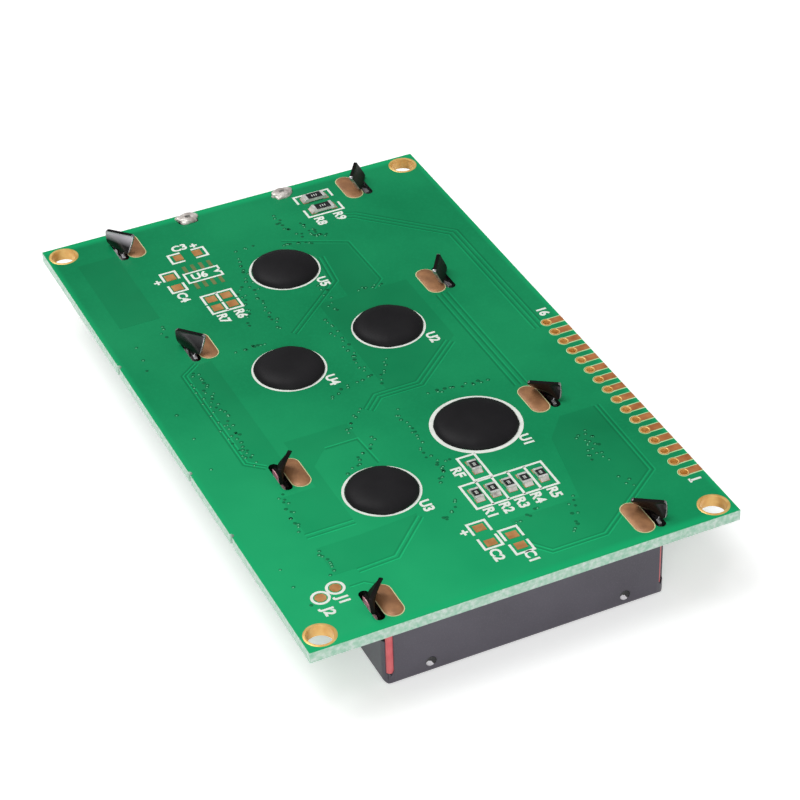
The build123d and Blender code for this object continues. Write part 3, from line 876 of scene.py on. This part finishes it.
def printed_marks():
    bm = bmesh.new()

    def line(points, closed=False, width=mark_width):
        ribbon(bm, points, width, print_low, print_high, closed)

    def ring(centre, radius, width):
        band(bm, circle(centre, radius - width / 2, 96), circle(centre, radius + width / 2, 96),
             print_low, print_high)

    def brackets(first_y, last_y, *places):
        """Three-sided marks, each with its back at one X and its arms ending at another."""
        for back, tip in places:
            line([(tip, first_y), (back, first_y), (back, last_y), (tip, last_y)])

    for x, y, radius, width in blobs.values():
        ring((x, y), radius, width)
    # Framed cells of the resistor column and of the single resistor beside it
    line(rectangle(28.5, 0.2, 33.6, 12), closed=True)
    for y in (9.5, 7.1, 4.8, 2.55):
        line([(28.5, y), (33.6, y)])
    line(rectangle(23.1, 2.5, 28.2, 5), closed=True)
    # Large resistors, then the capacitors' footprints
    brackets(14.4, 8.8, (-45.55, -43.5), (-39.5, -41.6))
    brackets(0.6, 3.1, (38.8, 40.942), (43.9, 41.758))
    brackets(-2.5, 0, (35.9, 38.168), (41.3, 39.032))
    for back, tip in ((-8.4, -10.3), (-13.9, -12)):
        line([(-39.5, tip), (-39.5, back), (-37.2, back), (-37.2, tip)])
    brackets(-14.45, -16.7, (-35.4, -33.3), (-30.1, -32.1))
    # Spare resistors and the eight-legged footprint with its notch
    brackets(-8.9, -13.5, (-27.4, -25.1), (-22.6, -24.8))
    for back, tip in ((-27.4, -25.1), (-22.6, -24.8)):
        line([(back, -11.2), (tip, -11.2)])
    line([(-33, -8.4), (-33.9, -8.4), (-33.9, -13.6), (-31.4, -13.6), (-31.4, -8.4), (-32.3, -8.4),
          (-32.65, -9.1), (-33, -8.4)], width=0.3)
    for place in ((39.4, -22.3), (40.3, -24.7)):
        ring(place, 1.1, 0.36)
    line([(40.5, 27.35), (41.3, 27.35)], width=0.3)
    piece("printed_marks", bm, "print_white")


def label(bm, text, place, turn=0.0):
    """One printed word, centred on its place."""
    capital_share = 0.7
    bolder = 0.075
    curve = bpy.data.curves.new("word", "FONT")
    curve.body = text
    curve.size = letter_height / capital_share
    curve.align_x = "CENTER"
    curve.align_y = "CENTER"
    curve.extrude = (print_high - print_low) / 2
    curve.offset = bolder
    curve.resolution_u = 3
    carrier = placed("word", curve)
    mesh = bpy.data.meshes.new_from_object(carrier)
    move = Matrix.Translation((place[0], place[1], (print_high + print_low) / 2))
    mesh.transform(move @ Matrix.Rotation(math.radians(turn), 4, "Z"))
    bm.from_mesh(mesh)
    bpy.data.objects.remove(carrier)
    bpy.data.meshes.remove(mesh)
    bpy.data.curves.remove(curve)


def printed_labels():
    bm = bmesh.new()
    words = [
        ("U1", 23.5, 12.5), ("U2", -3.3, 11.7), ("U3", 30, -5.3), ("U4", -0.5, -4.9), ("U5", -23, 3.7),
        ("RF", 25.7, 1.3), ("R9", -37.9, 13), ("R8", -37.9, 9.9), ("C1", 45, 2.1), ("C2", 42.8, -1.7),
        ("R6", -21, -10), ("R7", -21, -12.6), ("C4", -28.5, -15.8), ("J1", 41.9, -22.3),
        ("J2", 43.1, -24.8), ("16", -1.8, 28.2), ("1", 40.9, 28.1), ("+", 37.1, -3.5), ("+", -40.4, -9.6),
        ("+", -33.6, -17.8), ("R5", 35, 10.6), ("R4", 35, 8.2), ("R3", 35, 5.9), ("R2", 35, 3.7),
        ("R1", 35, 1.4),
    ]
    for text, x, y in words:
        label(bm, text, (x, y))
    label(bm, "C3", (-40.7, -11.6), 90.0)
    label(bm, "U6", (-32.6, -11.6), 90.0)
    piece("printed_labels", bm, "print_white", smooth=20.0)


def legged_pads():
    """Dull pads of the empty eight-legged footprint, on both sides of its outline."""
    first, pitch = -9.1, 1.27
    half_x, half_y = 0.85, 0.27
    bm = bmesh.new()
    for x in (-34.95, -30.35):
        for step in range(4):
            y = first - pitch * step
            block(bm, (x - half_x, y - half_y, pad_low), (x + half_x, y + half_y, pad_top - 0.01))
    piece("legged_pads", bm, "plated_copper", "legged_copper", stands_for=("spare_chip_pads",))


printed_marks()
printed_labels()
legged_pads()


# Copper under the lacquer


def trace_lines():
    """Grooves between the covered conductors, drawn as dark lines for the gap and its painted shade, with a
    lighter ridge beside them as a painted highlight.
    """
    bm = bmesh.new()
    # Path, number of lines and the distance between them
    bundles = [
        ([(1.5, 26.2), (-26, 26.2), (-37, 15.2), (-38, 13)], 3, 0.75),
        ([(-12.4, 17.5), (12.2, 17.5)], 3, 0.85),
        ([(-35.5, 2.5), (-30.8, 11.2), (-19.8, 11.4), (-18, 9.4)], 1, 0.6),
        ([(-29, 5.9), (-22.4, 5.2), (-13, -5.2)], 2, 0.7),
        ([(-1.5, 13.4), (5.6, 5.4), (5.6, -1), (8, -3.4)], 3, 0.65),
        ([(13.2, -12), (13.2, -7.4), (19, -7)], 1, 0.6),
        ([(31.5, -7), (34, -9.6), (37.3, -13), (37.6, -18.4)], 2, 0.7),
        ([(21, 24.3), (36.5, 24), (45.2, 12.5), (45.2, 5), (42.2, 2.6)], 2, 0.6),
        ([(-12.6, -20.2), (-10.6, -22.8), (11.4, -22.8), (13.4, -20.6)], 2, 0.5),
        ([(28.6, -14.8), (28.6, -21.6)], 2, 0.8),
        ([(41.2, -17.2), (39.9, -18.6), (39.9, -20.6)], 1, 0.6),
    ]
    groove, groove_high = 0.26, board_top + 0.012
    ridge, ridge_high, beside = 0.22, board_top + 0.016, 0.24
    for path, count, pitch in bundles:
        for step in range(count):
            shift = (step - (count - 1) / 2) * pitch
            # Dark line for the gap and its painted shade, then a painted highlight along the ridge beside it
            ribbon(bm, offset_path(path, shift, False), groove, print_low, groove_high)
            ribbon(bm, offset_path(path, shift + beside, False), ridge, print_low, ridge_high, index=1)
    piece("covered_conductors", bm, "board_laminate", "gap_shade_lacquer", "ridge_highlight_lacquer")


def vias():
    """Small covered holes in loose rows: a dark eye, and on most a pale speck to one side, a painted
    highlight.
    """
    bm = bmesh.new()
    # First and last place of each row, and its number of eyes
    rows = [
        (-14, 0, 1.3, 0, 22), (10, -0.3, 24.7, -0.4, 22), (9.3, 13.7, 8.3, 5.7, 15),
        (-18.7, 11, -18.7, 7.7, 8), (-42, 4.3, -37.7, 4.3, 9), (-36.3, -2, -36.3, -4, 4),
        (-34, -5.2, -15, -6.6, 27), (1.3, -1.7, 3.3, -7, 9), (-12.7, -9.7, -12.7, -13.7, 8),
        (14, -5.3, 19.3, -11, 12), (36.7, 12.3, 43.3, 9.7, 10), (25.3, 20.2, 32, 19.8, 12),
        (25.6, 18.9, 31.4, 18.6, 9), (36, 20, 38, 20, 4), (30.7, -1.3, 34, -4.3, 8),
        (-10.7, -21, 12, -21.4, 36), (-9.6, -22.2, 10.4, -22.4, 18), (19.3, -21.2, 27.3, -21.6, 14),
        (32, -21, 36.7, -21.6, 9), (-22.7, -21, -20.7, -22, 4), (-38.6, 6.6, -33.6, 9.4, 12),
        (-34.6, 2, -33, 6.6, 9), (-36, 5.6, -34.6, 8.2, 8), (-27, -7.6, -18, -9.6, 14),
        (-22, 3, -15.4, 2.2, 9), (-1.4, 4, 3, 1, 8), (22.4, 1.6, 26.6, -1.4, 8),
        (37, 7.4, 38.2, 3.6, 6), (7.4, -4.2, 11.6, -8, 9), (-20, -26.7, -14, -26.7, 3),
        (-3, -26.7, 10, -26.7, 3), (33, -26.7, 41, -26.4, 3),
    ]
    eye_high = board_top + 0.02
    speck, speck_high, speck_share = 0.12, board_top + 0.034, 0.7
    for start_x, start_y, end_x, end_y, count in rows:
        for step in range(count):
            share = step / (count - 1)
            x = start_x + (end_x - start_x) * share + chance.uniform(-0.4, 0.4)
            y = start_y + (end_y - start_y) * share + chance.uniform(-0.6, 0.6)
            size = chance.uniform(0.22, 0.32)
            profile = [(size, print_low), (size * 0.85, eye_high), (size * 0.5, eye_high)]
            lathe(bm, (x, y), profile, count=12)
            # Pale speck to one side of the eye: a painted highlight
            if chance.random() < speck_share:
                profile = [(speck, print_low), (speck, speck_high)]
                lathe(bm, (x + 0.1, y - 0.06), profile, count=8, index=1)
    piece("covered_vias", bm, "board_laminate", "via_dark", "via_glint")


def pours():
    """Areas where the lacquer lies over another tone of copper."""
    bm = bmesh.new()
    areas = [
        [(-12.2, -18), (13, -18), (13, -20.4), (11.2, -22.5), (-10.4, -22.5), (-12.2, -20.4)],
        [(13.4, -7.2), (13.4, -12.4), (16, -14.8), (28.4, -14.8), (28.4, -21.4), (20, -21.4), (20, -16.4),
         (9.4, -16.4), (9.4, -7.2)],
        [(30.8, -7), (33.6, -9.8), (37, -13.2), (37.2, -21.4), (31.4, -21.4), (31.4, -15.4)],
        [(21, 24), (36.3, 23.7), (44.9, 12.4), (44.9, 5), (42, 2.9), (37.4, 2.9), (37.4, 13),
         (24.8, 15.6), (21, 18.8)],
        [(-18, 14.6), (-2.4, 14.6), (5, 6), (5, 0.8), (-18, 0.8)],
        [(-34.6, 2.6), (-30.4, 10.8), (-20.2, 11), (-17.6, 8.4), (-17.6, 5.4), (-22, 5.6), (-28, 6.4)],
        [(-43, -20.6), (-25.2, -20.6), (-25.2, -26.6), (-43, -26.6)],
    ]
    # Each is a little higher than the one before, so that no two share a plane
    lowest, rise = board_top + 0.004, 0.001
    for order, outline in enumerate(areas):
        prism(bm, outline, print_low, lowest + rise * order)
    piece("copper_pours", bm, "board_laminate", "pour_lacquer")


trace_lines()
vias()
pours()


# Black epoxy over the chips


def epoxy_dome(name, node, seed, spill):
    """Cast dome with an uneven rim and a slightly wavy crown."""
    low, high = box_mm(node)
    middle = (low + high) / 2
    radius = (high.x - low.x) / 2
    height = high.z - low.z
    bm = bmesh.new()
    count = 96
    # Shares of the radius and of the height, from the rim to the crown
    shape = ((1.0, 0.0), (1.0, 0.12), (0.985, 0.26), (0.955, 0.4), (0.9, 0.56), (0.82, 0.7), (0.7, 0.83),
             (0.54, 0.92), (0.34, 0.975), (0.12, 1.0))
    rings = []
    for share, lift in shape:
        ring = []
        for step in range(count):
            turn = 2 * math.pi * step / count
            way = Vector((math.cos(turn), math.sin(turn), 0.0))
            wobble = noise.noise(way * 1.6 + Vector((seed, 0.0, 0.0))) * 0.035
            wobble += noise.noise(way * 6.0 + Vector((0.0, seed, 0.0))) * 0.012
            reach = (radius + spill) * share * (1.0 + wobble * share)
            ripple = 0.012 * noise.noise(way * share * 3.0 + Vector((0.0, 0.0, seed)))
            ring.append((middle.x + reach * way.x, middle.y + reach * way.y,
                         low.z + height * (lift * 0.97 + ripple)))
        rings.append(ring)
    capped(bm, rings)
    piece(name, bm, "epoxy", smooth=60.0, stands_for=(node,))


for order, (chip, (chip_x, chip_y, ring_radius, ring_width)) in enumerate(blobs.items()):
    blob_radius = box_mm(chip + "_blob")[1].x - chip_x
    epoxy_dome(chip + "_dome", chip + "_blob", 3.1 + 5.7 * order, ring_radius - ring_width / 2 - blob_radius)


# Solder lumps at the short edge


def solder_lump(name, node, seed):
    """Lumpy shiny solder, drawn from a sphere pushed about by noise."""
    low, high = box_mm(node)
    middle = (low + high) / 2
    half = (high - low) / 2
    half_y = 1.65
    crown = 0.72
    bm = bmesh.new()
    bmesh.ops.create_icosphere(bm, subdivisions=5, radius=1.0)
    for vert in bm.verts:
        way = vert.co.normalized()
        swell = 1.0 + 0.3 * noise.noise(way * 1.4 + Vector((seed, 0.0, 0.0)))
        swell += 0.08 * noise.noise(way * 3.0 + Vector((0.0, seed, 0.0)))
        x = middle.x + max(-1.0, min(1.0, way.x * swell)) * half.x
        y = middle.y + way.y * swell * half_y
        z = low.z + max(0.0, way.z) ** 0.6 * (0.7 + 0.5 * (swell - 1.0)) * (high.z - low.z) * crown
        vert.co = (x, y, z)
    piece(name, bm, "solder", smooth=50.0, stands_for=(node,))


solder_lump("edge_solder_1", "backlight_solder_1", 2.3)
solder_lump("edge_solder_2", "backlight_solder_2", 9.1)


# Chip resistors


def chip_resistor(node, along):
    """White ceramic with black glaze on top and bright wrapped ends, its length along axis 0 or 1."""
    low, high = box_mm(node)
    bm = bmesh.new()
    length = high[along] - low[along]
    cap = 0.36 if length < 2.5 else 0.45
    skin = 0.04

    def part(start, end, inset, rise, index):
        near = [low.x + inset, low.y + inset, low.z + inset]
        far = [high.x - inset, high.y - inset, high.z - rise]
        near[along] = low[along] + start
        far[along] = low[along] + end
        block(bm, near, far, index)

    # Three bars stand for the printed value
    centre = (low + high) / 2
    half = [0.16 * min(high.x - low.x, high.y - low.y)] * 2
    half[along] = 0.05
    for step in (-1, 0, 1):
        spot = [centre.x, centre.y]
        spot[along] += step * length * 0.11
        block(bm, (spot[0] - half[0], spot[1] - half[1], high.z - 0.03),
              (spot[0] + half[0], spot[1] + half[1], high.z - 0.005), 2)
    part(0.05, length - 0.05, skin, skin, 0)
    part(cap, length - cap, 0.1, 0.015, 0)
    part(0.0, cap, 0.0, 0.0, 1)
    part(length - cap, length, 0.0, 0.0, 1)
    piece(node + "_chip", bm, "resistor_body", "resistor_body", "bright_cap", "print_white",
          stands_for=(node,), bevel=0.03)


for node_name in sorted(frame["nodes"]):
    if node_name.startswith("resistor_") and node_name[-1].isdigit() or node_name == "feedback_resistor":
        chip_resistor(node_name, 0)
    if node_name.startswith("backlight_resistor_"):
        chip_resistor(node_name, 1)


# Character cells behind the window


def character_cells():
    """Faint blocks, twenty to a line and four lines, seen through the window."""
    bm = bmesh.new()
    film_low = box_mm("front_polarizer")[0].z
    columns, lines = 20, 4
    pitch_x, pitch_y = 3.55, 5.35
    cell_x, cell_y = 2.95, 4.75
    for column in range(columns):
        for line in range(lines):
            x = (column - (columns - 1) / 2) * pitch_x
            y = (line - (lines - 1) / 2) * pitch_y
            prism(bm, rectangle(x - cell_x / 2, y - cell_y / 2, x + cell_x / 2, y + cell_y / 2),
                  film_low - 0.01, film_low + 0.005)
    piece("character_cells", bm, "polarizer_film", "cell_tone")


character_cells()


# Floor, lamps and camera


def floor_piece():
    """Pale floor, lifted to white for the eye, for mirrors and through glass, but not for what it lights."""
    lift_strength = 0.45
    floor_gap = 0.02 * MM
    made = Finish("floor_white", Roughness=0.7)
    patches = made.noise(3.0, 2.0)
    made.colour(made.ramp(patches, (0.3, tone(236, 236, 236)), (0.7, tone(240, 240, 240))))
    ray = made.add("ShaderNodeLightPath")
    lift = made.add("ShaderNodeEmission")
    seen = made.reckon("MAXIMUM", ray.outputs["Is Camera Ray"], ray.outputs["Is Glossy Ray"])
    seen = made.reckon("MAXIMUM", seen, ray.outputs["Is Transmission Ray"])
    made.join(made.reckon("MULTIPLY", seen, lift_strength), lift.inputs["Strength"])
    both = made.add("ShaderNodeAddShader")
    made.join(made.shader.outputs["BSDF"], both.inputs[0])
    made.join(lift.outputs["Emission"], both.inputs[1])
    made.join(both.outputs["Shader"], made.tree.nodes["Material Output"].inputs["Surface"])
    bm = bmesh.new()
    bmesh.ops.create_grid(bm, x_segments=8, y_segments=8, size=3.0)
    floor = placed("floor", bm)
    floor.data.materials.append(made.material)
    floor.location.z = -floor_gap


def lamp(name, place, size, power):
    """Square soft lamp that looks at the object."""
    light = bpy.data.lights.new(name, "AREA")
    light.size = size
    light.energy = power
    made = placed(name, light)
    made.location = place
    made.rotation_euler = (-Vector(place)).to_track_quat("-Z", "Y").to_euler()


floor_piece()
lamp("key_lamp", (-0.36, -0.24, 0.78), 0.6, 5.0)
lamp("front_lamp", (0.62, -0.3, 0.42), 0.5, 1.6)


def studio():
    """Room that is bright on the near side and darker where the board mirrors it."""
    world = bpy.data.worlds.new("studio")
    world.use_nodes = True
    tree = world.node_tree
    way = tree.nodes.new("ShaderNodeTexCoord").outputs["Generated"]
    parts = tree.nodes.new("ShaderNodeSeparateXYZ")
    tree.links.new(way, parts.inputs["Vector"])
    shade = tree.nodes.new("ShaderNodeMapRange")
    for label, value in (("From Min", -0.6), ("From Max", 0.4), ("To Min", 0.14), ("To Max", 0.45)):
        shade.inputs[label].default_value = value
    tree.links.new(parts.outputs["X"], shade.inputs["Value"])
    tree.links.new(shade.outputs["Result"], tree.nodes["Background"].inputs["Strength"])
    tree.nodes["Background"].inputs["Color"].default_value = (1.0, 1.0, 1.0, 1.0)
    bpy.context.scene.world = world


studio()

# The photograph's lens and place, fitted to the corner holes and the header pads
camera_data = bpy.data.cameras.new("camera")
camera_data.sensor_width = 36.0
camera_data.lens = 118.39
camera_data.clip_start = 0.01
camera = placed("camera", camera_data)
camera.location = (0.26821, -0.11545, 0.22272)
camera.rotation_euler = [math.radians(angle) for angle in (53.304, 1.455, 64.74)]
bpy.context.scene.camera = camera
bpy.context.scene.view_settings.view_transform = "Standard"
